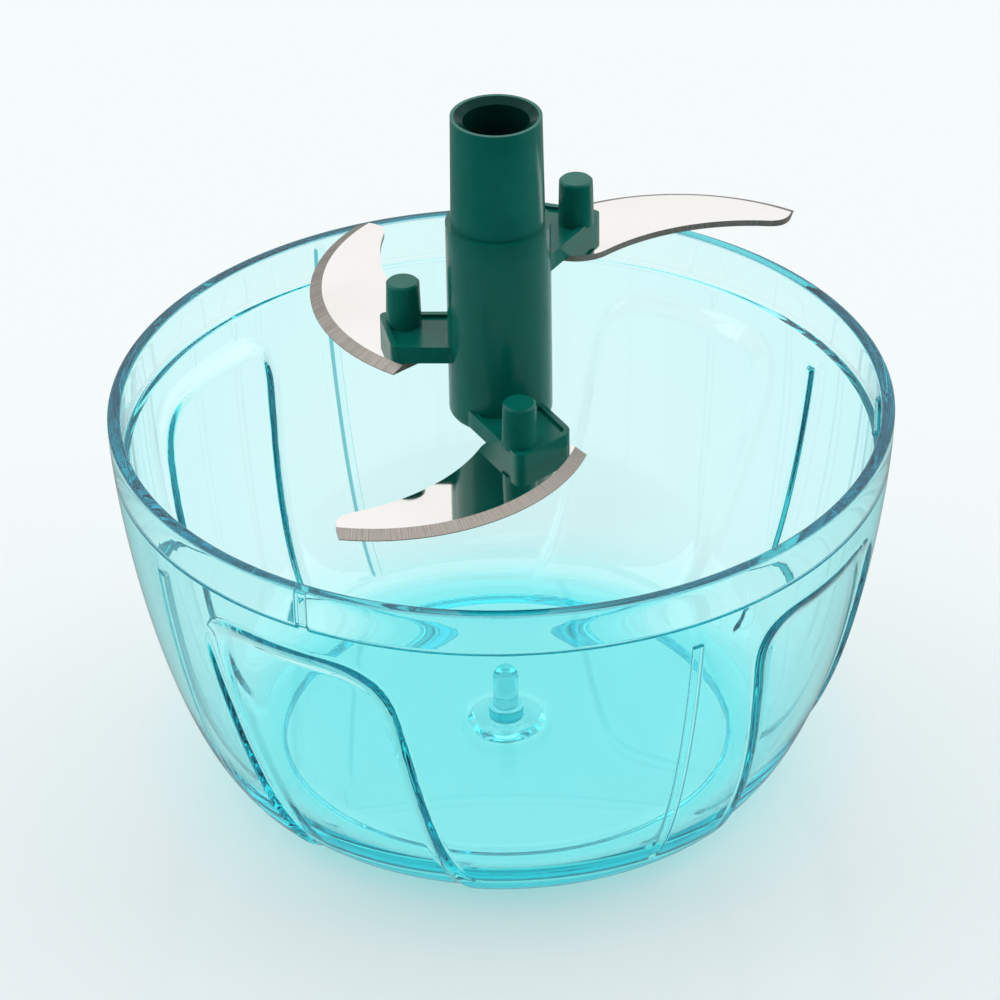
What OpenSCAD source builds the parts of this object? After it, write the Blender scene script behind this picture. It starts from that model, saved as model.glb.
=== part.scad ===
// Food chopper: a clear bowl and its three-blade unit, shown lifted straight up off the bowl's pivot pin.
// Millimetres. The origin is on the table, on the axis of the bowl, and +Z points up.

/* [Bowl] */
// Outside diameter of the rim
rim_d = 120; // [112:1:130]
// Height from the table to the rim
bowl_h = 63; // [57:1:70]
// Outside diameter of the foot ring
foot_d = 77; // [70:1:84]
// Width of the foot ring
foot_w = 3; // [2:0.5:5]
// Depth of the recess inside the foot ring
foot_recess = 2.2; // [1.8:0.1:3]
// Thickness of the floor
floor_t = 2.4; // [2:0.1:3]
// Overhang of the flat floor past the foot ring
floor_over = 1; // [0.5:0.1:2]
// Thickness of the wall below the lid seat
wall_t = 2.5; // [2.2:0.1:3]
// Thickness of the wall at the rim
rim_t = 2; // [1.7:0.1:2.1]
// Edge radius of the rim
rim_round = 0.8; // [0.3:0.1:0.8]
// Depth of the lid seat below the rim
seat_depth = 7.5; // [5:0.5:9]
// Curve of the belly towards the rim, higher is more upright
belly_top = 1.45; // [1.3:0.05:1.7]
// Curve of the belly towards the foot, lower is squarer
belly_foot = 0.49; // [0.45:0.01:0.55]

/* [Bowl details] */
// Width of the inner beater ribs
rib_w = 1.5; // [1:0.1:2.5]
// Height of the beater ribs above the wall
rib_h = 0.8; // [0.5:0.1:1.5]
// Start of the beater ribs below the rim
rib_drop = 12; // [10:0.5:20]
// Azimuth of the first beater rib
rib_az = 29; // [26:1:32]
// Depth to which the wall is pressed in at the grip panels
panel_depth = 1; // [0.6:0.1:1.2]
// Top edge of the grip panels below the rim
panel_drop = 11.5; // [10:0.5:20]
// Width of a grip panel at its top
panel_top_w = 35; // [30:1:38]
// Width of a grip panel at the foot
panel_foot_w = 27; // [22:1:30]
// Sideways lean of a grip panel from top to foot
panel_lean = 8; // [4:1:10]
// Length of the rounded corner of a grip panel
panel_corner = 11; // [6:1:13]
// Azimuth of the first grip panel
panel_az = 60; // [57:1:63]
// Width of the lid keys inside the rim
key_w = 1.6; // [1.2:0.1:2.5]
// Height of the lid keys above the lid seat
key_h = 0.8; // [0.5:0.1:1]
// Gap between the rim and the top of the lid keys
key_drop = 1; // [0.8:0.1:2]
// Reach of the lid keys below the lid seat's ledge
key_tail = 1.5; // [0.5:0.1:3]

/* [Pivot pin] */
// Diameter of the pivot pin
pin_d = 4; // [3.5:0.1:5]
// Height of the pivot pin above its collar
pin_h = 7; // [6:0.5:9]
// Diameter of the collar round the pin
collar_d = 5.6; // [5.2:0.1:7]
// Height of the collar above the floor
collar_h = 2.6; // [2:0.1:3]
// Diameter of the moulding pad under the collar
pad_d = 10.4; // [8:0.2:14]
// Height of the moulding pad
pad_h = 0.4; // [0.2:0.1:0.8]

/* [Hub] */
// Outside diameter of the hub
hub_d = 15.8; // [15:0.1:17]
// Height of the hub up to its shoulder
hub_h = 32.9; // [31:0.1:40]
// Wall of the hub round the sleeve's spigot
hub_wall = 1.85; // [1.6:0.05:2.2]
// Edge radius at the hub's underside
hub_round = 1.2; // [0.5:0.1:1.5]
// Thickness of the web above the bush
web_t = 2; // [1.5:0.1:3]
// Height of the hub's underside above the table when lifted
lift_z = 61; // [60:0.5:80]

/* [Drive sleeve] */
// Height of the sleeve above the hub
sleeve_h = 17.6; // [16.5:0.1:24]
// Diameter of the sleeve at the hub
sleeve_d = 14.2; // [13.8:0.1:14.6]
// Diameter of the sleeve at its top
sleeve_top_d = 13.7; // [13.2:0.1:13.8]
// Width of the flat rim at the sleeve's top
sleeve_rim = 0.6; // [0.4:0.1:0.8]
// Width across the flats of the drive socket
hex_af = 8.4; // [7.6:0.1:8.4]
// Depth of the drive socket
hex_depth = 15; // [12:0.5:16]
// Diameter of the round entry of the drive socket
entry_d = 10; // [9.8:0.1:10.4]
// Depth of the round entry
entry_depth = 6.5; // [4:0.5:8]
// Depth of the chamfer at the socket's mouth
lead_in = 0.8; // [0.4:0.1:1.2]
// Length of the spigot inside the hub
spigot_len = 12; // [8:0.5:15]
// Bore of the spigot's core
spigot_core_d = 7; // [5:0.1:8]
// Thickness of the floor under the drive socket
socket_floor = 1.5; // [1:0.1:2.5]

/* [Pivot bush] */
// Outside diameter of the bush
bush_d = 9.8; // [9:0.1:10.4]
// Depth of the bush's bore for the pin
bush_depth = 5.7; // [5:0.1:6.5]
// Thickness of the bush's closed top
bush_top_t = 1.5; // [1:0.1:2]
// Height of the snap bead above the bush
bead_h = 0.45; // [0.3:0.05:0.6]
// Width of the snap bead
bead_w = 1.2; // [0.8:0.1:1.6]
// Height of the snap bead's middle above the hub's underside
bead_z = 3; // [2:0.1:4]
// Lead-in chamfer at the bush's mouth
mouth_chamfer = 0.6; // [0.3:0.1:1]

/* [Arms] */
// Azimuth of the lowest arm
arm_az = -80; // [-90:1:-70]
// Underside of the low tray above the hub's underside
low_tray = 0.8; // [0.5:0.1:2]
// Underside of the middle tray above the hub's underside
mid_tray = 10.2; // [9:0.1:14]
// Underside of the high tray below the hub's shoulder
high_drop = 8.2; // [6.5:0.1:9]
// Height of a tray
tray_h = 2.8; // [2.6:0.1:3.5]
// Thickness of a tray's floor
tray_floor = 2.3; // [1.8:0.1:2.4]
// Thickness of a tray's border
tray_wall = 0.9; // [0.7:0.1:1.2]
// Distance of the pegs from the axis
peg_r = 15.5; // [15:0.1:17]
// Reach of a tray past its peg
tray_nose = 4.6; // [4:0.1:5.5]
// Distance of the nose's corner behind the peg
tray_nose_lag = 1; // [0:0.1:1.5]
// Lead of a tray's leading corner on its peg
tray_lead = 8.4; // [7:0.1:9]
// Distance of the leading corner inside the peg's radius
tray_lead_in = 1.2; // [0.5:0.1:2]
// Direction of a tray's leading side as it runs into the hub
tray_side_az = 18; // [12:0.5:24]
// Length of a tray's rounded corners
tray_corner = 1.8; // [1.2:0.1:2.2]
// Diameter of a peg at its foot
peg_d = 5.5; // [5.2:0.1:5.8]
// Diameter of a peg at its top
peg_top_d = 5.1; // [4.7:0.1:5.2]
// Height of a peg above its tray's floor
peg_h = 7.3; // [7:0.1:10]
// Chamfer round the top of a peg
peg_chamfer = 0.3; // [0.1:0.1:0.6]
// Width of the square register under a tray
register_w = 3.6; // [3.4:0.1:4]
// Height of the square register
register_h = 0.7; // [0.4:0.1:0.8]

/* [Blades] */
// Thickness of a blade
blade_t = 1; // [0.9:0.05:1.1]
// Gap between the low blade's tip and the bowl's inside when seated
blade_gap = 1; // [0.8:0.1:3]
// Lag of a blade's tip on its arm, before it is turned out
tip_lag = 44; // [38:1:48]
// Width of a blade's tip
tip_w = 5.2; // [4:0.1:7]
// Length of the rounded corner of a blade's tip
tip_corner = 3; // [1.5:0.1:3.5]
// Radius of the leading edge
lead_r = 32.3; // [29:0.1:40]
// Radius of the trailing edge
trail_r = 31; // [26:0.1:45]
// Lead of the leading edge's root corner on the screw
root_lead = 10.2; // [9:0.1:12]
// Radius of a blade's root round its screw
root_r = 6.6; // [6:0.1:6.8]
// Direction of the heel, where the trailing edge ends
heel_az = 233; // [225:1:240]
// Width of the ground bevel along the leading edge
bevel_w = 1.9; // [1:0.1:2.5]
// Thickness of the ground edge
edge_t = 0.15; // [0.1:0.05:0.3]
// Turn of the middle blade on its screw, outwards
mid_turn = 11; // [4:1:16]
// Turn of the high blade on its screw, outwards
high_turn = 37; // [25:1:40]
// Extra length of the middle blade's tip
mid_extra = 5; // [0:0.5:6]
// Extra length of the high blade's tip
high_extra = 1; // [0:0.5:3]

/* [Blade screws] */
// Diameter of a screw's shank
shank_d = 2.4; // [2:0.1:2.6]
// Length of a screw's shank
shank_len = 8.5; // [7:0.1:9]
// Diameter of a screw's head
screw_head_d = 6.2; // [5.6:0.1:6.6]
// Height of a screw's head
screw_head_h = 1.1; // [0.8:0.1:1.3]
// Length of the drive cross in a screw's head
cross_len = 3; // [2:0.1:3.6]
// Width and depth of the drive cross
cross_w = 0.7; // [0.5:0.1:0.8]

/* [Fits] */
// Radial gap between the pivot pin and its bush
pin_gap = 0.05; // [0.02:0.01:0.1]
// Radial and axial running gap between the bush and the hub
bush_gap = 0.05; // [0.02:0.01:0.1]
// Gap between the pin's tip and the bush when seated
seat_gap = 0.1; // [0.05:0.05:0.3]
// Radial gap of the sleeve's spigot in the hub
spigot_gap = 0.05; // [0.02:0.01:0.1]
// Gap round a square register in its blade
register_gap = 0.05; // [0.02:0.01:0.1]
// Radial gap round a screw's shank
shank_gap = 0.05; // [0.02:0.01:0.1]
// Spare depth of a screw's hole
shank_spare = 0.5; // [0.2:0.1:1]

/* [Hidden] */
$fn = 96;

// Counts of the repeated details and of the points on a curve
rib_count = 4;
panel_count = 4;
key_count = 3;
arm_count = 3;
wall_steps = 28;
edge_steps = 24;
corner_steps = 6;

// Overshoot of a cutting shape past the face it cuts
over = 1;
// Depth to which ribs, keys and trays are rooted in the walls
root_t = 0.6;
// Distance from the axis at which a tray's leading side ends inside the hub
tray_root_r = 2;

// Bowl
rim_r = rim_d / 2;
foot_r = foot_d / 2;
floor_r = foot_r + floor_over;
floor_z = foot_recess + floor_t;
wall_top = bowl_h - rim_round;
seat_r = rim_r - rim_t;
ledge_z = bowl_h - seat_depth;
collar_z = floor_z + collar_h;
pin_tip_z = collar_z + pin_h;

// Heights of the blade unit, seated on the pin and lifted off it
seated_z = pin_tip_z + seat_gap - bush_depth;
raised_z = lift_z;

// Hub, bush and sleeve, measured from the hub's underside
hub_r = hub_d / 2;
bush_r = bush_d / 2;
bush_top = bush_depth + bush_top_t;
bush_bore_top = bush_top + bush_gap;
hub_bore_r = hub_r - hub_wall;
sleeve_top = hub_h + sleeve_h;
hex_floor = sleeve_top - hex_depth;
lead_in_r = sleeve_top_d / 2 - sleeve_rim;

// Trays, in the frame of an arm that points along +X
tray_nose_pt = [peg_r + tray_nose, -tray_nose_lag];
tray_lead_pt = [peg_r - tray_lead_in, tray_lead];
tray_side_len = norm(tray_lead_pt) - tray_root_r;
tray_side_pt = tray_lead_pt - tray_side_len * [cos(tray_side_az), sin(tray_side_az)];
tray_outline = [hub_tangent(tray_nose_pt), tray_nose_pt, tray_lead_pt, tray_side_pt];

// Blades, in the same frame
peg_pt = [peg_r, 0];
low_tip_r = wall_in(seated_z + low_tray - blade_t) - max(rib_h, panel_depth) - blade_gap;
root_pt = peg_pt + [0, root_lead];
tip_pt = low_tip_r * [cos(-tip_lag), sin(-tip_lag)];
lead_turn = 2 * asin(norm(tip_pt - root_pt) / 2 / lead_r);
heel_pt = peg_pt + root_r * [cos(heel_az), sin(heel_az)];
// Direction from the screw in which the round root meets the leading edge's end
root_back_az = 150;

// Curve of the belly, from 0 at the foot to 1 at the rim
function belly(t) = pow(1 - pow(1 - t, belly_top), belly_foot);

// Radius of the outer and the inner wall at a height
function wall_out(z) = foot_r + (rim_r - foot_r) * belly(z / wall_top);
function wall_in(z) = floor_r + (rim_r - wall_t - floor_r) * belly((z - floor_z) / (bowl_h - floor_z));

// Points of the outer wall and of the inner wall between two heights, closer together near the foot
function outer_curve(z0, z1, shift) =
  [for (i = [0:wall_steps]) let (z = z0 + (z1 - z0) * pow(i / wall_steps, 2)) [wall_out(z) + shift, z]];
function inner_curve(z0, z1, shift) =
  [for (i = [0:wall_steps]) let (z = z0 + (z1 - z0) * pow(i / wall_steps, 2)) [wall_in(z) + shift, z]];

function reversed(list) = [for (i = [len(list) - 1:-1:0]) list[i]];
function unit(v) = v / norm(v);

// Points of an arc round a centre
function arc(c, r, a0, a1, steps) =
  [for (i = [0:steps]) let (a = a0 + (a1 - a0) * i / steps) c + r * [cos(a), sin(a)]];

// Centre of the arc from p to q, on the left of the way there for side 1 and on the right for side -1
function arc_centre(p, q, r, side) =
  let (half = norm(q - p) / 2, d = unit(q - p))
  (p + q) / 2 + side * sqrt(r * r - half * half) * [-d.y, d.x];

// Point at a share of the arc from p to q
function arc_at(p, q, r, side, share) =
  let (c = arc_centre(p, q, r, side), a0 = atan2(p.y - c.y, p.x - c.x), turn = 2 * asin(norm(q - p) / 2 / r))
  c + r * [cos(a0 + side * turn * share), sin(a0 + side * turn * share)];

// Rounded corner from p to q with its point at v
function round_off(p, v, q) =
  [for (i = [0:corner_steps]) let (s = i / corner_steps) (1 - s) ^ 2 * p + 2 * s * (1 - s) * v + s ^ 2 * q];

// Corner of a polygon, rounded over a length along both of its sides
function corner(p, v, q, length) = round_off(v + length * unit(p - v), v, v + length * unit(q - v));

// Point where a line from p touches the hub's core, on its trailing side
function hub_tangent(p) =
  let (r = hub_r - root_t, a = atan2(p.y, p.x) - acos(r / norm(p))) r * [cos(a), sin(a)];

// Convex polygon, running anticlockwise, moved inwards by a distance
function inset(points, d) =
  let (n = len(points))
  [for (i = [0:n - 1])
    let (
      u = unit(points[i] - points[(i + n - 1) % n]),
      w = unit(points[(i + 1) % n] - points[i]),
      turn = u.x * w.y - u.y * w.x
    )
    points[i] + d / turn * (w - u)];

// Outline of a tray with its two outer corners rounded
function tray_shape(points, length) = concat(
  [points[0]],
  corner(points[0], points[1], points[2], length),
  corner(points[1], points[2], points[3], length),
  [points[3]]
);

function arm_direction(i) = arm_az + i * 360 / arm_count;
function blade_turn(i) = [0, high_turn, mid_turn][i];
// Angle of the leading edge past the low blade's tip
function tip_reach(i) = [0, high_extra, mid_extra][i] / lead_r * 180 / PI;
function tray_z(i) = [low_tray, hub_h - high_drop, mid_tray][i];

// Shape in the plane across an azimuth, run outwards from the axis
module radial_prism(az) {
  rotate([0, 0, az])
    rotate([90, 0, 90])
      linear_extrude(rim_r + over)
        children();
}

module bowl_shell() {
  rotate_extrude()
    polygon(concat(
      [[0, foot_recess], [foot_r - foot_w, foot_recess], [foot_r - foot_w, 0]],
      outer_curve(0, wall_top, 0),
      arc([rim_r - rim_round, wall_top], rim_round, 0, 90, corner_steps),
      arc([seat_r + rim_round, wall_top], rim_round, 90, 180, corner_steps),
      [[seat_r, ledge_z]],
      reversed(inner_curve(floor_z, ledge_z, 0)),
      [[0, floor_z]]
    ));
}

// Upright ribs that throw the food back into the blades
module beater_ribs() {
  rib_foot = floor_z + rib_w;
  rib_top = bowl_h - rib_drop;
  for (i = [0:rib_count - 1])
    intersection() {
      rotate_extrude()
        polygon(concat(
          inner_curve(floor_z, ledge_z, -rib_h),
          reversed(inner_curve(floor_z, ledge_z, root_t))
        ));
      radial_prism(rib_az + i * 360 / rib_count) {
        translate([-rib_w / 2, rib_foot])
          square([rib_w, rib_top - rib_w / 2 - rib_foot]);
        translate([0, rib_top - rib_w / 2])
          circle(d = rib_w);
      }
    }
}

// Keys that the lid turns past at the rim
module lid_keys() {
  key_foot = ledge_z - key_tail;
  for (i = [0:key_count - 1])
    intersection() {
      rotate_extrude()
        translate([seat_r - key_h, key_foot])
          square([key_h + root_t, bowl_h - key_drop - key_foot]);
      radial_prism(i * 360 / key_count)
        translate([-key_w / 2, key_foot])
          square([key_w, bowl_h - key_drop - key_foot]);
    }
}

// Leaning arch-topped outlines of the grip panels, run outwards from the axis
module panel_prisms() {
  top_z = bowl_h - panel_drop;
  shape = [
    [panel_lean / 2 - panel_foot_w / 2, -over],
    [panel_lean / 2 + panel_foot_w / 2, -over],
    [panel_top_w / 2 - panel_lean / 2, top_z],
    [-panel_top_w / 2 - panel_lean / 2, top_z]
  ];
  for (i = [0:panel_count - 1])
    radial_prism(panel_az + i * 360 / panel_count)
      polygon(concat(
        [shape[0], shape[1]],
        corner(shape[1], shape[2], shape[3], panel_corner),
        corner(shape[2], shape[3], shape[0], panel_corner)
      ));
}

// Recesses of the grip panels round the outside, which run out at the foot
module panel_recesses() {
  intersection() {
    rotate_extrude()
      polygon(concat(
        [[foot_r - panel_depth, -over]],
        outer_curve(0, wall_top, -panel_depth),
        [[rim_r + over, wall_top], [rim_r + over, -over]]
      ));
    panel_prisms();
  }
}

// Backs of the grip panels, as far proud inside as the recesses are deep, so that the wall keeps its thickness
module panel_backs() {
  intersection() {
    rotate_extrude()
      polygon(concat(
        [[floor_r - panel_depth, floor_z - root_t]],
        inner_curve(floor_z, ledge_z, -panel_depth),
        reversed(inner_curve(floor_z, ledge_z, root_t)),
        [[floor_r + root_t, floor_z - root_t]]
      ));
    panel_prisms();
  }
}

// Pin that the blade unit turns on, moulded in one with the floor
module pivot_pin() {
  root = floor_z - floor_t / 2;
  translate([0, 0, root])
    cylinder(d = pad_d, h = floor_z + pad_h - root);
  translate([0, 0, root])
    cylinder(d = collar_d, h = collar_z - root);
  translate([0, 0, root])
    cylinder(d = pin_d, h = pin_tip_z - pin_d / 2 - root);
  translate([0, 0, pin_tip_z - pin_d / 2])
    sphere(d = pin_d);
}

module bowl() {
  color([0.55, 0.92, 0.93, 0.45])
    difference() {
      union() {
        bowl_shell();
        beater_ribs();
        panel_backs();
        lid_keys();
        pivot_pin();
      }
      panel_recesses();
    }
}

// Bearing cup that snaps into the hub and sits on the pin
module pivot_bush() {
  bore_r = pin_d / 2 + pin_gap;
  color("ivory")
    translate([0, 0, raised_z])
      rotate_extrude()
        polygon([
          [bore_r + mouth_chamfer, 0],
          [bush_r, 0],
          [bush_r, bead_z - bead_w / 2],
          [bush_r + bead_h, bead_z],
          [bush_r, bead_z + bead_w / 2],
          [bush_r, bush_top],
          [0, bush_top],
          [0, bush_depth],
          [bore_r, bush_depth],
          [bore_r, mouth_chamfer]
        ]);
}

// Tapered peg with a chamfered top
module peg() {
  cylinder(d1 = peg_d, d2 = peg_top_d, h = peg_h - peg_chamfer);
  translate([0, 0, peg_h - peg_chamfer])
    cylinder(d1 = peg_top_d, d2 = peg_top_d - 2 * peg_chamfer, h = peg_chamfer);
}

// Tray of one arm with its peg and the square register below it
module arm(turn) {
  difference() {
    linear_extrude(tray_h)
      polygon(tray_shape(tray_outline, tray_corner));
    translate([0, 0, tray_floor])
      linear_extrude(tray_h)
        polygon(tray_shape(inset(tray_outline, tray_wall), tray_corner - tray_wall));
  }
  translate([peg_r, 0, tray_floor])
    peg();
  translate([peg_r, 0, -register_h])
    rotate([0, 0, turn])
      translate([-register_w / 2, -register_w / 2])
        cube([register_w, register_w, register_h + tray_floor / 2]);
}

// Bores of the hub: bush seat with its snap groove below the web, open tube for the sleeve above it
module hub_bores() {
  bore_r = bush_r + bush_gap;
  rotate_extrude()
    polygon([
      [0, -over],
      [bore_r, -over],
      [bore_r, bead_z - bead_w / 2 - bush_gap],
      [bore_r + bead_h, bead_z - bush_gap],
      [bore_r + bead_h, bead_z + bush_gap],
      [bore_r, bead_z + bead_w / 2 + bush_gap],
      [bore_r, bush_bore_top],
      [0, bush_bore_top]
    ]);
  translate([0, 0, bush_bore_top + web_t])
    cylinder(r = hub_bore_r, h = hub_h);
}

module blade_hub() {
  color([0.07, 0.36, 0.3])
    translate([0, 0, raised_z])
      difference() {
        union() {
          rotate_extrude()
            polygon(concat(
              [[0, 0]],
              arc([hub_r - hub_round, hub_round], hub_round, -90, 0, corner_steps),
              [[hub_r, hub_h], [0, hub_h]]
            ));
          for (i = [0:arm_count - 1])
            rotate([0, 0, arm_direction(i)])
              translate([0, 0, tray_z(i)])
                arm(blade_turn(i));
        }
        hub_bores();
        for (i = [0:arm_count - 1])
          rotate([0, 0, arm_direction(i)])
            translate([peg_r, 0, tray_z(i) - blade_t])
              cylinder(d = shank_d + 2 * shank_gap, h = shank_len + shank_spare);
      }
}

// Upper sleeve with the socket that the lid's spindle drives, round at its mouth and six-sided below
module drive_sleeve() {
  spigot_r = hub_bore_r - spigot_gap;
  spigot_z = hub_h - spigot_len;
  color([0.09, 0.4, 0.33])
    translate([0, 0, raised_z])
      difference() {
        rotate_extrude()
          polygon([
            [0, spigot_z],
            [spigot_r, spigot_z],
            [spigot_r, hub_h],
            [sleeve_d / 2, hub_h],
            [sleeve_top_d / 2, sleeve_top],
            [0, sleeve_top]
          ]);
        translate([0, 0, hex_floor])
          rotate([0, 0, 90])
            cylinder(d = hex_af / cos(30), h = hex_depth + over, $fn = 6);
        rotate_extrude()
          polygon([
            [0, sleeve_top - entry_depth],
            [entry_d / 2, sleeve_top - entry_depth],
            [entry_d / 2, sleeve_top - lead_in],
            [lead_in_r, sleeve_top],
            [lead_in_r, sleeve_top + over],
            [0, sleeve_top + over]
          ]);
        translate([0, 0, spigot_z - over])
          cylinder(d = spigot_core_d, h = hex_floor - socket_floor - spigot_z + over);
      }
}

// Outline of a blade: leading edge, tip, trailing edge and the round root under the tray
function blade_outline(reach) =
  let (
    lead_share = 1 + reach / lead_turn,
    inward = -[cos(reach), -sin(reach)],
    tip_in_pt = arc_at(root_pt, tip_pt, lead_r, -1, lead_share) + tip_w * inward,
    trail_share = tip_corner / norm(heel_pt - tip_in_pt),
    trail_start = arc_at(tip_in_pt, heel_pt, trail_r, 1, trail_share)
  )
  concat(
    [for (i = [0:edge_steps]) arc_at(root_pt, tip_pt, lead_r, -1, lead_share * i / edge_steps)],
    round_off(tip_in_pt - tip_corner * inward, tip_in_pt, trail_start),
    [for (i = [1:edge_steps])
      arc_at(tip_in_pt, heel_pt, trail_r, 1, trail_share + (1 - trail_share) * i / edge_steps)],
    [for (i = [1:edge_steps])
      let (a = heel_az + (root_back_az - heel_az) * i / edge_steps)
      peg_pt + root_r * [cos(a), sin(a)]]
  );

// Blade with a ground bevel along its leading edge and a square hole for the tray's register
module blade(i) {
  hole_w = register_w + 2 * register_gap;
  bevel_slope = (blade_t - edge_t) / bevel_w;
  color([0.9, 0.88, 0.86])
    translate([0, 0, raised_z + tray_z(i) - blade_t])
      rotate([0, 0, arm_direction(i)])
        translate(peg_pt)
          rotate([0, 0, blade_turn(i)])
            translate(-peg_pt)
              difference() {
                linear_extrude(blade_t)
                  polygon(blade_outline(tip_reach(i)));
                translate(arc_centre(root_pt, tip_pt, lead_r, -1))
                  rotate_extrude()
                    polygon([
                      [lead_r - bevel_w, blade_t],
                      [lead_r + over, edge_t - bevel_slope * over],
                      [lead_r + over, blade_t + over],
                      [lead_r - bevel_w, blade_t + over]
                    ]);
                translate([peg_r - hole_w / 2, -hole_w / 2, -over])
                  cube([hole_w, hole_w, blade_t + 2 * over]);
              }
}

// Pan-head screw driven up through a blade into its peg
module blade_screw(i) {
  color("silver")
    translate([0, 0, raised_z + tray_z(i) - blade_t])
      rotate([0, 0, arm_direction(i)])
        translate(peg_pt) {
          cylinder(d = shank_d, h = shank_len);
          difference() {
            translate([0, 0, -screw_head_h])
              cylinder(d1 = screw_head_d - screw_head_h, d2 = screw_head_d, h = screw_head_h);
            for (turn = [0, 90])
              rotate([0, 0, turn])
                translate([-cross_len / 2, -cross_w / 2, -screw_head_h - over])
                  cube([cross_len, cross_w, cross_w + over]);
          }
        }
}

module blade_low() { blade(0); }
module blade_mid() { blade(2); }
module blade_high() { blade(1); }
module blade_screw_low() { blade_screw(0); }
module blade_screw_mid() { blade_screw(2); }
module blade_screw_high() { blade_screw(1); }

bowl();
pivot_bush();
blade_hub();
drive_sleeve();
blade_low();
blade_mid();
blade_high();
blade_screw_low();
blade_screw_mid();
blade_screw_high();
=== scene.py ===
import math

import bpy
import numpy as np
from mathutils import Matrix, Vector


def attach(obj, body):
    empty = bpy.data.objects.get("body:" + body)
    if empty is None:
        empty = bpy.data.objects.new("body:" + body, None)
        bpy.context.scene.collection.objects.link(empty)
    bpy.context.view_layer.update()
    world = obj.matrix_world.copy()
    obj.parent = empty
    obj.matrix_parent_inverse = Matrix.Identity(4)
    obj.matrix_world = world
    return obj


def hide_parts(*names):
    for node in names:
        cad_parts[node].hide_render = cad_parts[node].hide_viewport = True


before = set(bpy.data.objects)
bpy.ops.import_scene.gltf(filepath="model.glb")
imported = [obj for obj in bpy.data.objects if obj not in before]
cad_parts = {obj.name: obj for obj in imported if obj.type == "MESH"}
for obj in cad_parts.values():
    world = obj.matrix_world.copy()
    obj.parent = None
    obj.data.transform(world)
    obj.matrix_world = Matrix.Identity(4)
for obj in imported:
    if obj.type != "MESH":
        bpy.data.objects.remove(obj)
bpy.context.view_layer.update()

MM = 0.001

# Sizes of the bowl in millimetres, as in the part's source
RIM_R = 60.0
BOWL_H = 63.0
FOOT_R = 38.5
FOOT_W = 3.0
FOOT_RECESS = 2.2
FLOOR_Z = 4.6
FLOOR_R = 39.5
WALL_T = 2.5
RIM_T = 2.0
RIM_ROUND = 0.8
SEAT_R = RIM_R - RIM_T
LEDGE_Z = BOWL_H - 7.5
WALL_TOP = BOWL_H - RIM_ROUND
BELLY_TOP = 1.45
BELLY_FOOT = 0.49
RIB_COUNT = 4
RIB_AZ = 29.0
RIB_W = 1.5
RIB_H = 0.8
RIB_TOP = BOWL_H - 12.0
PANEL_COUNT = 4
PANEL_AZ = 60.0
PANEL_DEPTH = 1.0
PANEL_TOP = BOWL_H - 11.5
PANEL_TOP_W = 35.0
PANEL_FOOT_W = 27.0
PANEL_LEAN = 8.0
PANEL_CORNER = 11.0
KEY_COUNT = 3
KEY_W = 1.6
KEY_H = 0.8
KEY_TOP = BOWL_H - 1.0
KEY_FOOT = LEDGE_Z - 1.5
PAD_R = 5.2
PAD_H = 0.4
COLLAR_R = 2.8
COLLAR_H = 2.6
PIN_R = 2.0
PIN_H = 7.0

# Edges of the bowl in millimetres, as the photo shows them: the panels' edges get softer towards their tops
CREST_ROUND = 0.3
EDGE_ROUND = 0.4
PANEL_EDGE = 2.4
PANEL_EDGE_TOP = 4.0
PANEL_FADE = 18.0
RIB_SOFT = 0.55
RIB_FOOT_GAP = 0.8
RIB_FOOT_SOFT = 1.4
KEY_SOFT = 0.5

# Foot of the panels' outline in millimetres, and the turn from its middle that a panel can reach in radians
PANEL_FOOT_Z = -6.0
PANEL_REACH = math.pi / 3.0

# Waves in the pad's edge: share of the radius, count round the pad, and phase in radians
PAD_WAVES = ((0.07, 3.0, 0.6), (0.02, 7.0, 0.0))

# Azimuths of the bowl's mesh in degrees: steps, and stretches from a panel's or rib's middle with finer steps
EVEN_STEP = 0.75
PANEL_STEP = 0.3
RIB_STEP = 0.08
LEAST_STEP = 0.05
PANEL_SIDES = ((-24.0, -12.0), (11.0, 29.0))
RIB_STRETCH = (-1.6, 1.65)

# Rows of the bowl's mesh in millimetres: graded up to a height, then even past the panels' tops
ROWS_SPLIT_Z = 36.0
LOW_ROWS = 84
LOW_ROWS_POWER = 1.7
HIGH_ROW_STEP = 0.3
ROWS_PAST_PANEL = 1.0
TOP_ROWS_GAP = 1.2
TOP_ROWS = 12
FLOOR_ROWS_IN = 2.0
FLOOR_ROWS_OUT = 1.2
UNDER_ROWS_R = 4.0

# Tones of the clear moulding: its own all over, and painted shade on steep sides of ribs and keys, on the
# rim's crest, and on pin and pad
CLEAR_TONE = (0.97, 1.0, 1.0, 1.0)
FLANK_SHADE_TONE = (0.1, 0.36, 0.42, 1.0)
CREST_SHADE_TONE = (0.32, 0.56, 0.64, 1.0)
PIN_SHADE_TONE = (0.68, 0.8, 0.83, 1.0)
PIN_TONE_PAST_PAD = 0.9
PIN_TONE_ABOVE_FLOOR = 0.02

# Tones of the green mouldings, each in its lighter and deeper clouds, and painted shade inside the sleeve's
# mouth
HUB_TONES = ((0.002, 0.142, 0.108, 1.0), (0.001, 0.12, 0.091, 1.0))
SLEEVE_TONES = ((0.002, 0.155, 0.122, 1.0), (0.001, 0.13, 0.102, 1.0))
BORE_SHADE_TONE = (0.0, 0.035, 0.027, 1.0)

# Radius of the drive sleeve's mouth, and radius where the trays begin, in millimetres
SLEEVE_MOUTH_R = 6.3
TRAY_R = 8.4

# Softened edges of the hub and the sleeve in millimetres
HUB_EDGE = 0.3
SLEEVE_EDGE = 0.2

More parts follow.
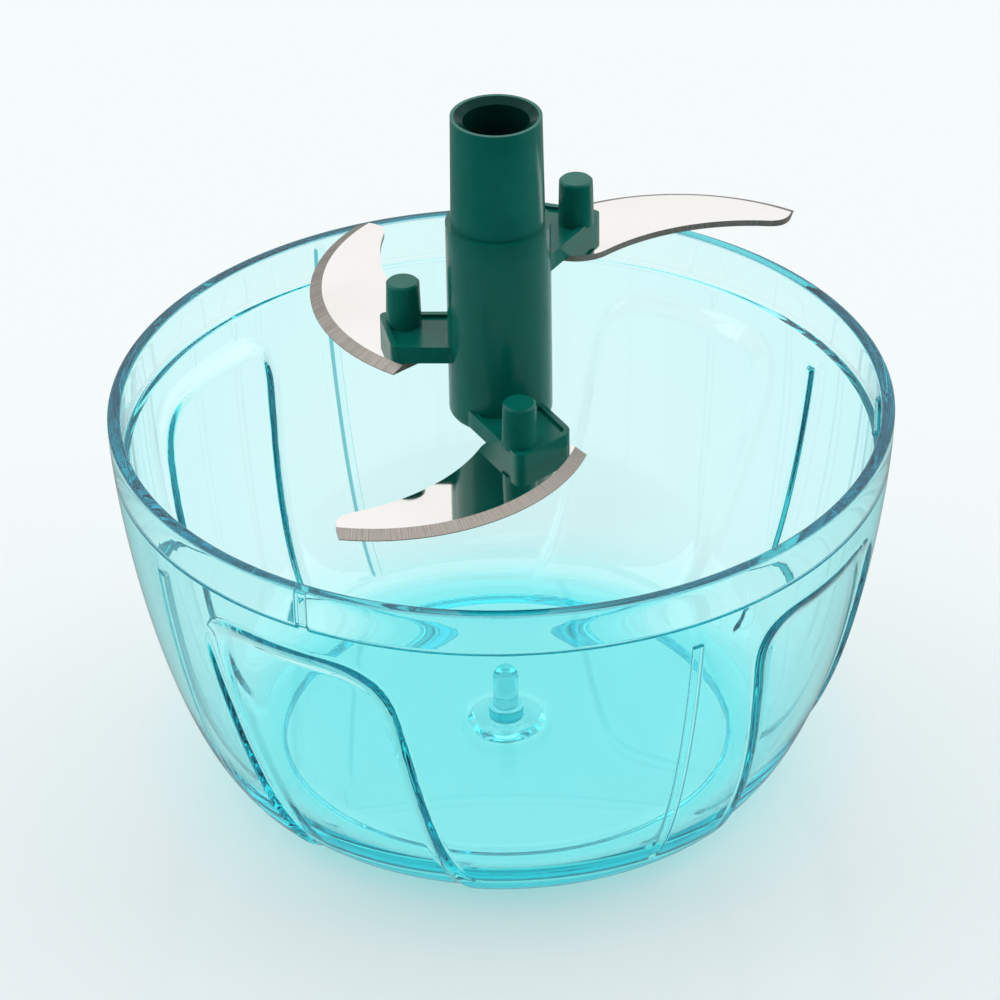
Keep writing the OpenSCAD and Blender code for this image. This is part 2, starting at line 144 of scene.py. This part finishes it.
# Sizes of the blades' leading edges in millimetres and degrees, as in the part's source
PEG_R = 15.5
LOW_ARM_AZ = -80.0
ARM_STEP = 120.0
BLADE_TURN = {"blade_low": 0.0, "blade_mid": 11.0, "blade_high": 37.0}
BLADE_ARM = {"blade_low": 0, "blade_high": 1, "blade_mid": 2}
LEAD_R = 32.3
ROOT_LEAD = 10.2
LOW_TIP_R = 43.1
TIP_LAG = 44.0

# Camera: the photo's frame is 1000 pixels wide, and the lens is measured in those pixels
FRAME_PX = 1000.0
LENS_PX = 4614.0
SENSOR_MM = 36.0
CAM_TARGET = (-0.4, 0.0, 44.5)
CAM_DISTANCE = 714.0
CAM_ELEVATION = 32.5
CAM_ROLL = -1.0

# Lamps: name, place and size in metres, and power in watts
LAMPS = (
    ("left_softbox", (-0.8, 0.15, 0.55), (1.0, 0.9), 3.6),
    ("right_softbox", (0.8, 0.2, 0.5), (1.0, 0.9), 3.6),
    ("top_softbox", (0.0, 0.25, 1.0), (1.1, 1.1), 4.0),
)
LAMP_AIM = (0.0, 0.0, 0.06)

# Table: half its width and its gap under the bowl, in metres
TABLE_HALF = 3.0
TABLE_GAP = 0.0002

# Light that runs along inside the clear wall: bounces from and up to which it goes dark, and its last tone
LONG_WAY_BOUNCES = (8.0, 14.0)
LONG_WAY_SHARE = 0.9
LONG_WAY_TONE = (0.05, 0.2, 0.28, 1.0)


def smooth_step(edge, width):
    """Soft step from 0 to 1 as edge goes from 0 to width."""
    t = np.clip(edge / width, 0.0, 1.0)
    return t * t * (3.0 - 2.0 * t)


# Camera
def make_camera():
    elevation = math.radians(CAM_ELEVATION)
    roll = math.radians(CAM_ROLL)
    forward = Vector((0.0, math.cos(elevation), -math.sin(elevation)))
    level = Vector((1.0, 0.0, 0.0))
    upright = level.cross(forward)
    right = math.cos(roll) * level + math.sin(roll) * upright
    up = right.cross(forward)
    eye = Vector(CAM_TARGET) * MM - forward * (CAM_DISTANCE * MM)
    data = bpy.data.cameras.new("photo_camera")
    data.lens = LENS_PX / FRAME_PX * SENSOR_MM
    data.sensor_width = SENSOR_MM
    data.clip_start = 0.01
    data.dof.use_dof = False
    camera = bpy.data.objects.new("photo_camera", data)
    bpy.context.scene.collection.objects.link(camera)
    camera.matrix_world = Matrix((
        (right.x, up.x, -forward.x, eye.x),
        (right.y, up.y, -forward.y, eye.y),
        (right.z, up.z, -forward.z, eye.z),
        (0.0, 0.0, 0.0, 1.0),
    ))
    bpy.context.scene.camera = camera


# Materials
class Nodes:
    """Small helper to build a node tree line by line."""

    def __init__(self, tree):
        self.tree = tree
        tree.nodes.clear()

    def add(self, kind, inputs=None, **settings):
        node = self.tree.nodes.new(kind)
        for key, value in settings.items():
            setattr(node, key, value)
        for key, value in (inputs or {}).items():
            socket = node.inputs[key]
            if isinstance(value, bpy.types.NodeSocket):
                self.tree.links.new(value, socket)
            else:
                socket.default_value = value
        return node

    def math(self, operation, *values):
        return self.add("ShaderNodeMath", dict(enumerate(values)), operation=operation).outputs[0]

    def vector(self, operation, *values):
        return self.add("ShaderNodeVectorMath", dict(enumerate(values)), operation=operation).outputs[0]

    def measure(self, operation, *values):
        """Vector operation whose result is a number."""
        return self.add("ShaderNodeVectorMath", dict(enumerate(values)), operation=operation).outputs["Value"]

    def mix(self, share, first, second):
        return self.add("ShaderNodeMix", {0: share, 6: first, 7: second}, data_type="RGBA").outputs[2]

    def ramp(self, value, stops):
        node = self.add("ShaderNodeValToRGB", {0: value})
        while len(node.color_ramp.elements) < len(stops):
            node.color_ramp.elements.new(0.5)
        for element, (place, colour) in zip(node.color_ramp.elements, stops):
            element.position = place
            element.color = colour
        return node.outputs[0]

    def map_range(self, value, low, high, to_low, to_high):
        inputs = {0: value, 1: low, 2: high, 3: to_low, 4: to_high}
        return self.add("ShaderNodeMapRange", inputs).outputs[0]

    def noise(self, place, scale, detail):
        return self.add("ShaderNodeTexNoise", {"Vector": place, "Scale": scale, "Detail": detail}).outputs[0]

    def bump(self, height, strength, distance):
        inputs = {"Height": height, "Strength": strength, "Distance": distance}
        return self.add("ShaderNodeBump", inputs).outputs[0]

    def axes(self, vector):
        return self.add("ShaderNodeSeparateXYZ", {0: vector}).outputs

    def place(self):
        return self.add("ShaderNodeTexCoord").outputs["Object"]

    def across(self, place):
        """Way from the upright axis to a place."""
        return self.vector("MULTIPLY", place, (1.0, 1.0, 0.0))


def new_material(name):
    material = bpy.data.materials.new(name)
    material.use_nodes = True
    return material, Nodes(material.node_tree)


def grey(value):
    return (value, value, value, 1.0)


def clear_aqua():
    material, n = new_material("clear_aqua_styrene")
    place = n.place()
    flow = n.noise(place, 35.0, 3.0)
    haze = n.map_range(flow, 0.35, 0.75, 0.0, 0.03)
    ripple = n.bump(flow, 0.02, 0.0004)
    across = n.across(place)
    # Painted shade: steep sides of ribs and keys get a dark teal colour for the dark lines they show
    sideways = n.vector("NORMALIZE", n.vector("CROSS_PRODUCT", across, (0.0, 0.0, 1.0)))
    facing = n.add("ShaderNodeNewGeometry").outputs["Normal"]
    turned = n.math("ABSOLUTE", n.measure("DOT_PRODUCT", facing, sideways))
    painted_flank_shade = n.map_range(turned, 0.55, 0.8, 0.0, 1.0)
    tone = n.mix(painted_flank_shade, CLEAR_TONE, FLANK_SHADE_TONE)
    height = n.axes(place)[2]
    # Painted shade: the rim's crest gets a darker blue-teal colour for the dark band seen along it
    crest = n.map_range(height, (BOWL_H - CREST_ROUND) * MM, (BOWL_H - CREST_ROUND / 2) * MM, 0.0, 1.0)
    tone = n.mix(crest, tone, CREST_SHADE_TONE)
    # Painted shade: pin and pad get a duller, darker colour that damps their bright highlights
    near_axis = n.math("LESS_THAN", n.measure("LENGTH", across), (PAD_R + PIN_TONE_PAST_PAD) * MM)
    above_floor = n.math("GREATER_THAN", height, (FLOOR_Z + PIN_TONE_ABOVE_FLOOR) * MM)
    tone = n.mix(n.math("MULTIPLY", near_axis, above_floor), tone, PIN_SHADE_TONE)
    shader = n.add("ShaderNodeBsdfPrincipled", {
        "Base Color": tone,
        "Transmission Weight": 1.0,
        "IOR": 1.5,
        "Roughness": haze,
        "Normal": ripple,
    })
    tint = n.add("ShaderNodeVolumeAbsorption", {"Color": (0.0, 0.95, 0.965, 1.0), "Density": 100.0})
    n.add("ShaderNodeOutputMaterial", {"Surface": shader.outputs[0], "Volume": tint.outputs[0]})
    return material


def green_plastic(name, tones, bore_r=0.0):
    """Glossy green moulding, duller on the trays, with painted shade inside a bore of a radius in
    millimetres.
    """
    material, n = new_material(name)
    place = n.place()
    light, deep = tones
    cloud = n.noise(place, 120.0, 4.0)
    gloss = n.map_range(cloud, 0.3, 0.8, 0.16, 0.28)
    radius = n.measure("LENGTH", n.across(place))
    # Painted shade: inside the bore the colour goes near black
    bore = n.math("LESS_THAN", radius, bore_r * MM)
    tone = n.mix(bore, n.ramp(cloud, [(0.35, deep), (0.7, light)]), BORE_SHADE_TONE)
    tray = n.math("GREATER_THAN", radius, TRAY_R * MM)
    shine = n.math("MULTIPLY_ADD", n.math("MAXIMUM", bore, tray), -0.11, 0.17)
    facing = n.add("ShaderNodeNewGeometry").outputs["Normal"]
    upward = n.map_range(n.axes(facing)[2], 0.6, 0.9, 0.0, 0.28)
    shine = n.math("ADD", shine, n.math("MULTIPLY", upward, n.math("SUBTRACT", 1.0, bore)))
    grain = n.noise(place, 1400.0, 2.0)
    shader = n.add("ShaderNodeBsdfPrincipled", {
        "Base Color": tone,
        "Roughness": gloss,
        "IOR": 1.48,
        "Specular IOR Level": shine,
        "Normal": n.bump(grain, 0.03, 0.0001),
    })
    n.add("ShaderNodeOutputMaterial", {"Surface": shader.outputs[0]})
    return material


def blade_steel(name, centre):
    """Mirror steel; faces that slope as the ground edge does get fine lines across it, and sides are dull."""
    material, n = new_material(name)
    place = n.place()
    axes = n.axes(place)
    x = n.math("SUBTRACT", axes[0], centre[0] * MM)
    y = n.math("SUBTRACT", axes[1], centre[1] * MM)
    along = n.math("MULTIPLY", n.math("ARCTAN2", y, x), LEAD_R)
    line_place = n.add("ShaderNodeCombineXYZ", {0: along, 1: n.math("MULTIPLY", axes[2], 40.0)}).outputs[0]
    line_inputs = {"Vector": line_place, "Scale": 4.5, "Detail": 6.0, "Roughness": 0.7}
    lines = n.add("ShaderNodeTexNoise", line_inputs).outputs[0]
    tilt = n.axes(n.add("ShaderNodeNewGeometry").outputs["True Normal"])[2]
    ground = n.math("MULTIPLY", n.math("LESS_THAN", tilt, 0.97), n.math("GREATER_THAN", tilt, 0.5))
    sheared = n.math("LESS_THAN", n.math("ABSOLUTE", tilt), 0.5)
    wipe = n.noise(place, 60.0, 3.0)
    face = n.ramp(wipe, [(0.3, (0.89, 0.865, 0.835, 1.0)), (0.7, (0.94, 0.92, 0.895, 1.0))])
    scratch = n.ramp(lines, [(0.3, (0.13, 0.118, 0.104, 1.0)), (0.7, (0.36, 0.335, 0.305, 1.0))])
    side = n.ramp(lines, [(0.3, (0.15, 0.132, 0.116, 1.0)), (0.7, (0.31, 0.283, 0.257, 1.0))])
    colour = n.mix(sheared, n.mix(ground, face, scratch), side)
    polish = n.map_range(wipe, 0.3, 0.75, 0.03, 0.07)
    rough = n.add("ShaderNodeMix", {0: n.math("MAXIMUM", ground, sheared), 2: polish, 3: 0.42}).outputs[0]
    shader = n.add("ShaderNodeBsdfPrincipled", {
        "Base Color": colour,
        "Metallic": n.math("MULTIPLY_ADD", sheared, -0.6, 1.0),
        "Roughness": rough,
        "Normal": n.bump(n.math("MULTIPLY", lines, ground), 0.35, 0.0002),
    })
    n.add("ShaderNodeOutputMaterial", {"Surface": shader.outputs[0]})
    return material


def plain_steel():
    material, n = new_material("screw_steel_turned")
    stain = n.noise(n.place(), 900.0, 4.0)
    tone = n.ramp(stain, [(0.3, (0.42, 0.42, 0.41, 1.0)), (0.7, (0.66, 0.66, 0.64, 1.0))])
    rough = n.map_range(stain, 0.3, 0.7, 0.22, 0.4)
    shader = n.add("ShaderNodeBsdfPrincipled", {"Base Color": tone, "Metallic": 1.0, "Roughness": rough})
    n.add("ShaderNodeOutputMaterial", {"Surface": shader.outputs[0]})
    return material


def acetal():
    material, n = new_material("bush_acetal")
    cloud = n.noise(n.place(), 300.0, 3.0)
    tone = n.ramp(cloud, [(0.3, (0.74, 0.71, 0.63, 1.0)), (0.7, (0.86, 0.84, 0.77, 1.0))])
    rough = n.map_range(cloud, 0.3, 0.7, 0.38, 0.52)
    shader = n.add("ShaderNodeBsdfPrincipled", {"Base Color": tone, "Roughness": rough})
    n.add("ShaderNodeOutputMaterial", {"Surface": shader.outputs[0]})
    return material


# Bowl
def belly(t):
    return (1.0 - (1.0 - np.clip(t, 0.0, 1.0)) ** BELLY_TOP) ** BELLY_FOOT


def wall_out(z):
    return FOOT_R + (RIM_R - FOOT_R) * belly(z / WALL_TOP)


def wall_in(z):
    return FLOOR_R + (RIM_R - WALL_T - FLOOR_R) * belly((z - FLOOR_Z) / (BOWL_H - FLOOR_Z))


def arc(centre, radius, start, end, steps):
    """Profile points of a quarter round or other arc, angles in degrees."""
    angles = np.radians(np.linspace(start, end, steps))
    return np.column_stack((centre[0] + radius * np.cos(angles), centre[1] + radius * np.sin(angles)))


def line(start, end, steps):
    """Profile points of a straight stretch, without its last point."""
    share = np.arange(steps)[:, None] / steps
    return np.asarray(start) * (1.0 - share) + np.asarray(end) * share


def rounded_corner(before, corner, after, length, steps=12):
    corner = np.asarray(corner)
    first = corner + length * (before - corner) / np.linalg.norm(before - corner)
    last = corner + length * (after - corner) / np.linalg.norm(after - corner)
    s = np.linspace(0.0, 1.0, steps)[:, None]
    return (1.0 - s) ** 2 * first + 2.0 * s * (1.0 - s) * corner + s ** 2 * last


def panel_outline():
    """Leaning arch of a grip panel, run on below the table so that the panel keeps its depth at the foot."""
    foot_left = np.array((PANEL_LEAN / 2 - PANEL_FOOT_W / 2, PANEL_FOOT_Z))
    foot_right = np.array((PANEL_LEAN / 2 + PANEL_FOOT_W / 2, PANEL_FOOT_Z))
    top_right = np.array((PANEL_TOP_W / 2 - PANEL_LEAN / 2, PANEL_TOP))
    top_left = np.array((-PANEL_TOP_W / 2 - PANEL_LEAN / 2, PANEL_TOP))
    return np.concatenate((
        [foot_left, foot_right],
        rounded_corner(foot_right, top_right, top_left, PANEL_CORNER),
        rounded_corner(top_right, top_left, foot_left, PANEL_CORNER),
    ))


def depth_inside(points, outline):
    """Distance of each point inside a closed outline, 0 for those outside."""
    tiny = 1e-9
    nearest = np.full(len(points), np.inf)
    crossings = np.zeros(len(points), dtype=int)
    for a, b in zip(outline, np.roll(outline, -1, axis=0)):
        side = b - a
        share = np.clip(((points - a) @ side) / (side @ side), 0.0, 1.0)
        nearest = np.minimum(nearest, np.linalg.norm(points - a - share[:, None] * side, axis=1))
        spans = (a[1] > points[:, 1]) != (b[1] > points[:, 1])
        rise = side[1] if abs(side[1]) > tiny else tiny
        crossings += spans & (points[:, 0] < a[0] + (points[:, 1] - a[1]) / rise * side[0])
    return np.where(crossings % 2 == 1, nearest, 0.0)


def turn_from(azimuths, centre):
    """Angles in radians from a centre azimuth, between minus and plus half a turn."""
    return (azimuths - math.radians(centre) + math.pi) % (2.0 * math.pi) - math.pi


def spread(count, first=0.0):
    """Azimuths in degrees of things spread evenly round the bowl."""
    return [first + i * 360.0 / count for i in range(count)]


def azimuth_set(stretches):
    """Even azimuths in radians, with finer steps over stretches given as (start, end, step) in degrees."""
    even = np.arange(0.0, 360.0, EVEN_STEP)
    fine = [np.arange(start, end, step) for start, end, step in stretches]
    merged = np.sort(np.concatenate([even] + fine) % 360.0)
    kept = [merged[0]]
    for azimuth in merged[1:]:
        if azimuth - kept[-1] > LEAST_STEP and merged[0] + 360.0 - azimuth > LEAST_STEP:
            kept.append(azimuth)
    return np.radians(kept)


def panel_stretches():
    """Stretches of azimuth in which the leaning sides of the grip panels run."""
    middles = spread(PANEL_COUNT, PANEL_AZ)
    return [(middle + start, middle + end, PANEL_STEP) for middle in middles for start, end in PANEL_SIDES]


def rib_stretches():
    """Stretches of azimuth over the beater ribs and the lid keys."""
    middles = spread(RIB_COUNT, RIB_AZ) + spread(KEY_COUNT)
    return [(middle + RIB_STRETCH[0], middle + RIB_STRETCH[1], RIB_STEP) for middle in middles]


def wall_rows(foot, top):
    """Heights of the rows of points on a wall, close together at the foot and over the panels' tops."""
    low_z = foot + (ROWS_SPLIT_Z - foot) * np.linspace(0.0, 1.0, LOW_ROWS) ** LOW_ROWS_POWER
    high_z = np.arange(ROWS_SPLIT_Z, PANEL_TOP + ROWS_PAST_PANEL, HIGH_ROW_STEP)[1:]
    top_z = np.linspace(PANEL_TOP + TOP_ROWS_GAP, top, TOP_ROWS)
    return np.concatenate((low_z, high_z, top_z))


def outer_profile():
    """Profile points with the name of the surface each lies on, from the underside to the rim's crest."""
    edge = EDGE_ROUND
    out_z = wall_rows(0.01, BOWL_H - CREST_ROUND)
    ring_in = FOOT_R - FOOT_W
    parts = [
        ("under", line((UNDER_ROWS_R, FOOT_RECESS), (ring_in - edge, FOOT_RECESS), 12)),
        ("under", arc((ring_in - edge, FOOT_RECESS - edge), edge, 90.0, 0.0, 4)),
        ("under", arc((ring_in + edge, edge), edge, 180.0, 270.0, 4)),
        ("under", line((ring_in + 2 * edge, 0.0), (FOOT_R - edge / 2, 0.0), 4)),
        ("outer", np.column_stack((wall_out(out_z), out_z))),
        ("rim", arc((RIM_R - CREST_ROUND, BOWL_H - CREST_ROUND), CREST_ROUND, 0.0, 90.0, 9)[1:]),
    ]
    return named_points(parts)


def inner_profile():
    """The same from the rim's crest to the pin's tip."""
    edge = EDGE_ROUND
    in_z = wall_rows(FLOOR_Z, LEDGE_Z)[::-1]
    pad_top = FLOOR_Z + PAD_H
    collar_top = FLOOR_Z + COLLAR_H
    pin_top = collar_top + PIN_H
    parts = [
        ("rim", arc((SEAT_R + CREST_ROUND, BOWL_H - CREST_ROUND), CREST_ROUND, 90.0, 180.0, 8)),
        ("seat", line((SEAT_R, WALL_TOP - CREST_ROUND), (SEAT_R, LEDGE_Z + edge), 16)),
        ("seat", arc((SEAT_R - edge, LEDGE_Z + edge), edge, 0.0, -90.0, 5)),
        ("inner", np.column_stack((wall_in(in_z), in_z))[1:]),
        ("floor", line((FLOOR_R - FLOOR_ROWS_IN, FLOOR_Z), (PAD_R + FLOOR_ROWS_OUT, FLOOR_Z), 20)),
        ("pad", arc((PAD_R, FLOOR_Z + PAD_H / 2), PAD_H / 2, -90.0, 90.0, 4)[1:]),
        ("pin", arc((COLLAR_R + edge, pad_top + edge), edge, 270.0, 180.0, 5)),
        ("pin", line((COLLAR_R, pad_top + 2 * edge), (COLLAR_R, collar_top - edge / 2), 3)),
        ("pin", arc((COLLAR_R - edge / 2, collar_top - edge / 2), edge / 2, 0.0, 90.0, 4)),
        ("pin", arc((PIN_R + edge / 2, collar_top + edge / 2), edge / 2, 270.0, 180.0, 4)),
        ("pin", line((PIN_R, collar_top + edge), (PIN_R, pin_top - PIN_R), 4)),
        ("pin", arc((0.0, pin_top - PIN_R), PIN_R, 0.0, 84.0, 9)),
    ]
    return named_points(parts)


def named_points(parts):
    names = [name for name, points in parts for _ in points]
    return names, np.concatenate([points for _, points in parts])


def panel_dent(azimuths, z, radius):
    """Depth to which the wall is pressed in at a height, soft at the panels' edges."""
    outline = panel_outline()
    edge = np.interp(z, (PANEL_TOP - PANEL_FADE, PANEL_TOP), (PANEL_EDGE, PANEL_EDGE_TOP))
    dent = np.zeros_like(azimuths)
    for middle in spread(PANEL_COUNT, PANEL_AZ):
        turn = turn_from(azimuths, middle)
        near = np.abs(turn) < PANEL_REACH
        across = radius * np.sin(turn[near])
        inside = depth_inside(np.column_stack((across, np.full(near.sum(), z))), outline)
        dent[near] = np.maximum(dent[near], smooth_step(inside, edge))
    return PANEL_DEPTH * dent


def ridge(azimuths, middle, radius, width, soft):
    """Cross-section of a rib or key: 1 on its crest and 0 beside it."""
    across = np.abs(radius * turn_from(azimuths, middle))
    return smooth_step(width / 2.0 + soft / 2.0 - across, soft)


def rib_bump(azimuths, z, radius):
    top_end = smooth_step(np.array(RIB_TOP + RIB_SOFT / 2 - z), RIB_SOFT)
    foot_end = smooth_step(np.array(z - FLOOR_Z - RIB_FOOT_GAP), RIB_FOOT_SOFT)
    crest = [ridge(azimuths, middle, radius, RIB_W, RIB_SOFT) for middle in spread(RIB_COUNT, RIB_AZ)]
    return RIB_H * top_end * foot_end * np.max(crest, axis=0)


def key_bump(azimuths, z, radius):
    ends = smooth_step(np.array(KEY_TOP - z), KEY_SOFT) * smooth_step(np.array(z - KEY_FOOT), KEY_SOFT)
    crest = [ridge(azimuths, middle, radius, KEY_W, KEY_SOFT) for middle in spread(KEY_COUNT)]
    return KEY_H * ends * np.max(crest, axis=0)


def pad_wave(azimuths):
    """Uneven edge of the moulding pad, as a share of its radius."""
    return 1.0 + sum(share * np.sin(count * azimuths + phase) for share, count, phase in PAD_WAVES)


def bowl_rings(azimuths, names, profile):
    """Rings of points along a stretch of the profile."""
    rings = []
    for name, (radius, z) in zip(names, profile):
        r = np.full_like(azimuths, radius)
        if name == "outer":
            r -= panel_dent(azimuths, z, radius)
        elif name == "seat":
            r -= key_bump(azimuths, z, radius)
        elif name == "inner":
            rib = rib_bump(azimuths, z, radius)
            key = np.maximum(radius - (SEAT_R - key_bump(azimuths, z, SEAT_R)), 0.0)
            r -= np.max((rib, panel_dent(azimuths, z, radius), key), axis=0)
        elif name == "pad":
            r *= pad_wave(azimuths)
        rings.append(np.column_stack((r * np.cos(azimuths), r * np.sin(azimuths), np.full_like(r, z))))
    return np.array(rings)


def mesh_object(name, points, faces, material):
    mesh = bpy.data.meshes.new(name)
    mesh.from_pydata([tuple(p) for p in points], [], faces)
    mesh.polygons.foreach_set("use_smooth", [True] * len(mesh.polygons))
    mesh.materials.append(material)
    mesh.validate()
    obj = bpy.data.objects.new(name, mesh)
    bpy.context.scene.collection.objects.link(obj)
    return obj


def ring_faces(rings, first):
    """Quads between rings whose points start at an index."""
    count, around = rings.shape[:2]
    faces = []
    for i in range(count - 1):
        low = first + i * around
        high = low + around
        for j in range(around):
            after = (j + 1) % around
            faces.append((low + j, low + after, high + after, high + j))
    return faces


def bridge_faces(lower, lower_first, upper, upper_first):
    """Triangles between two rings of different azimuths."""
    n = len(lower)
    m = len(upper)
    low_angles = np.append(lower, lower[0] + 2.0 * math.pi)
    high_angles = np.append(upper, upper[0] + 2.0 * math.pi)
    i = 0
    j = 0
    faces = []
    while i < n or j < m:
        a = lower_first + i % n
        b = upper_first + j % m
        if j == m or (i < n and low_angles[i + 1] <= high_angles[j + 1]):
            faces.append((a, lower_first + (i + 1) % n, b))
            i += 1
        else:
            faces.append((a, upper_first + (j + 1) % m, b))
            j += 1
    return faces


def fan_faces(around, first, centre, closing):
    """Triangles between a ring and its middle; closing turns them to face the other way."""
    pairs = ((first + j, first + (j + 1) % around) for j in range(around))
    return [(a, b, centre) if closing else (centre, b, a) for a, b in pairs]


def make_bowl():
    outer = azimuth_set(panel_stretches())
    inner = azimuth_set(panel_stretches() + rib_stretches())
    outside = bowl_rings(outer, *outer_profile())
    inside = bowl_rings(inner, *inner_profile())
    inner_first = outside.shape[0] * outside.shape[1]
    bottom = inner_first + inside.shape[0] * inside.shape[1]
    last_outer = inner_first - len(outer)
    last_inner = bottom - len(inner)
    middles = np.array(((0.0, 0.0, FOOT_RECESS), (0.0, 0.0, FLOOR_Z + COLLAR_H + PIN_H)))
    points = np.concatenate((outside.reshape(-1, 3), inside.reshape(-1, 3), middles)) * MM
    faces = fan_faces(len(outer), 0, bottom, False)
    faces += ring_faces(outside, 0)
    faces += bridge_faces(outer, last_outer, inner, inner_first)
    faces += ring_faces(inside, inner_first)
    faces += fan_faces(len(inner), last_inner, bottom + 1, True)
    bowl = mesh_object("bowl_clear", points, faces, clear_aqua())
    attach(bowl, "bowl")
    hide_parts("bowl")


# Blade unit
def dress(node, material, soften=0.0):
    """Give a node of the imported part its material, and soften its edges."""
    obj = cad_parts[node]
    obj.data.materials.clear()
    obj.data.materials.append(material)
    if soften:
        bevel = obj.modifiers.new("soft_edges", "BEVEL")
        bevel.width = soften * MM
        bevel.segments = 2
        bevel.limit_method = "ANGLE"
        bevel.angle_limit = math.radians(35.0)
        bevel.harden_normals = True


def lead_centre(node):
    """Centre of a blade's leading edge, in millimetres in the frame."""
    lag = math.radians(TIP_LAG)
    root = np.array((0.0, ROOT_LEAD))
    tip = np.array((LOW_TIP_R * math.cos(lag) - PEG_R, -LOW_TIP_R * math.sin(lag)))
    half = np.linalg.norm(tip - root) / 2.0
    along = (tip - root) / (2.0 * half)
    local = (root + tip) / 2.0 - math.sqrt(LEAD_R ** 2 - half ** 2) * np.array((-along[1], along[0]))
    turn = math.radians(BLADE_TURN[node])
    arm = math.radians(LOW_ARM_AZ + BLADE_ARM[node] * ARM_STEP)
    x = PEG_R + local[0] * math.cos(turn) - local[1] * math.sin(turn)
    y = local[0] * math.sin(turn) + local[1] * math.cos(turn)
    return x * math.cos(arm) - y * math.sin(arm), x * math.sin(arm) + y * math.cos(arm)


def dress_blade_unit():
    dress("blade_hub", green_plastic("hub_green", HUB_TONES), HUB_EDGE)
    dress("drive_sleeve", green_plastic("sleeve_green", SLEEVE_TONES, SLEEVE_MOUTH_R), SLEEVE_EDGE)
    dress("pivot_bush", acetal())
    for node in BLADE_TURN:
        dress(node, blade_steel(node + "_steel", lead_centre(node)))
        dress(node.replace("blade_", "blade_screw_"), plain_steel())


# Floor, light and background
def long_way(n, path, colour):
    """Colour of what is seen, going dark teal for light that ran a long way inside the clear wall."""
    share = n.map_range(path["Ray Depth"], *LONG_WAY_BOUNCES, 0.0, LONG_WAY_SHARE)
    return n.mix(share, colour, LONG_WAY_TONE)


def make_floor():
    """Pale table that fades to white at the back, with a painted aqua shadow round the bowl; what the parts
    mirror of it is dim, and dark in front.
    """
    material, n = new_material("studio_floor")
    path = n.add("ShaderNodeLightPath").outputs
    place = n.place()
    depth = n.axes(place)[1]
    seen = n.math("MULTIPLY", path["Is Camera Ray"], n.map_range(depth, -0.07, 0.13, 0.35, 0.85))
    through = n.math("MULTIPLY", path["Is Transmission Ray"], 0.8)
    mirrored = n.math("SUBTRACT", path["Is Glossy Ray"], path["Is Transmission Ray"])
    share = n.math("MAXIMUM", n.math("MAXIMUM", seen, through), mirrored)
    front = n.math("MULTIPLY", mirrored, n.map_range(depth, -0.16, -0.06, 1.0, 0.0))
    shade = n.add("ShaderNodeBsdfPrincipled", {
        "Base Color": (0.86, 0.93, 0.94, 1.0),
        "Roughness": 0.12,
        "IOR": 1.45,
    })
    # Painted shadow: near the bowl's foot the table turns aqua for the tinted shade of light through the
    # bowl, also where it is seen through the bowl
    pale_with_painted_shadow = n.ramp(n.map_range(n.measure("LENGTH", place), 0.0, 0.2, 0.0, 1.0), [
        (0.18, (0.37, 0.97, 1.0, 1.0)),
        (0.23, (0.7, 0.99, 1.0, 1.0)),
        (0.3, (0.9, 0.975, 0.98, 1.0)),
        (0.5, (0.93, 0.965, 0.97, 1.0)),
    ])
    pale = n.mix(front, n.mix(mirrored, pale_with_painted_shadow, grey(0.3)), grey(0.05))
    white = n.add("ShaderNodeEmission", {"Color": long_way(n, path, pale), "Strength": 1.0})
    mixed = n.add("ShaderNodeMixShader", {0: share, 1: shade.outputs[0], 2: white.outputs[0]})
    n.add("ShaderNodeOutputMaterial", {"Surface": mixed.outputs[0]})
    corners = ((-1.0, -1.0), (1.0, -1.0), (1.0, 1.0), (-1.0, 1.0))
    points = [(x * TABLE_HALF, y * TABLE_HALF, 0.0) for x, y in corners]
    floor = mesh_object("floor", points, [(0, 1, 2, 3)], material)
    floor.location.z = -TABLE_GAP


def make_world():
    """White all round for what is seen, darker towards the front for what the parts reflect."""
    world = bpy.data.worlds.new("studio")
    bpy.context.scene.world = world
    world.use_nodes = True
    n = Nodes(world.node_tree)
    path = n.add("ShaderNodeLightPath").outputs
    seen = n.math("MAXIMUM", path["Is Camera Ray"], path["Is Glossy Ray"])
    seen = n.math("MAXIMUM", seen, path["Is Transmission Ray"])
    seen = n.math("MULTIPLY", seen, n.math("LESS_THAN", path["Diffuse Depth"], 0.5))
    depth = n.axes(n.add("ShaderNodeTexCoord").outputs["Generated"])[1]
    front = n.math("MULTIPLY", path["Is Glossy Ray"], n.map_range(depth, -0.8, -0.2, 1.0, 0.0))
    shown = n.mix(front, grey(1.0), grey(0.08))
    fill = n.add("ShaderNodeBackground", {"Color": (0.95, 0.98, 1.0, 1.0), "Strength": 0.42})
    white = n.add("ShaderNodeBackground", {"Color": long_way(n, path, shown), "Strength": 1.0})
    mixed = n.add("ShaderNodeMixShader", {0: seen, 1: fill.outputs[0], 2: white.outputs[0]})
    n.add("ShaderNodeOutputWorld", {"Surface": mixed.outputs[0]})


def make_lamp(name, place, size, power):
    data = bpy.data.lights.new(name, "AREA")
    data.shape = "RECTANGLE"
    data.size = size[0]
    data.size_y = size[1]
    data.energy = power
    lamp = bpy.data.objects.new(name, data)
    bpy.context.scene.collection.objects.link(lamp)
    lamp.visible_camera = False
    lamp.location = place
    lamp.rotation_euler = (Vector(LAMP_AIM) - Vector(place)).to_track_quat("-Z", "Y").to_euler()


make_camera()
make_world()
make_floor()
for lamp_facts in LAMPS:
    make_lamp(*lamp_facts)
scene = bpy.context.scene
scene.view_settings.view_transform = "Standard"
# Light that runs along inside the clear wall needs more bounces than the usual four before it comes out again
scene.cycles.max_bounces = 40
scene.cycles.glossy_bounces = 32
scene.cycles.transmission_bounces = 40

make_bowl()
dress_blade_unit()
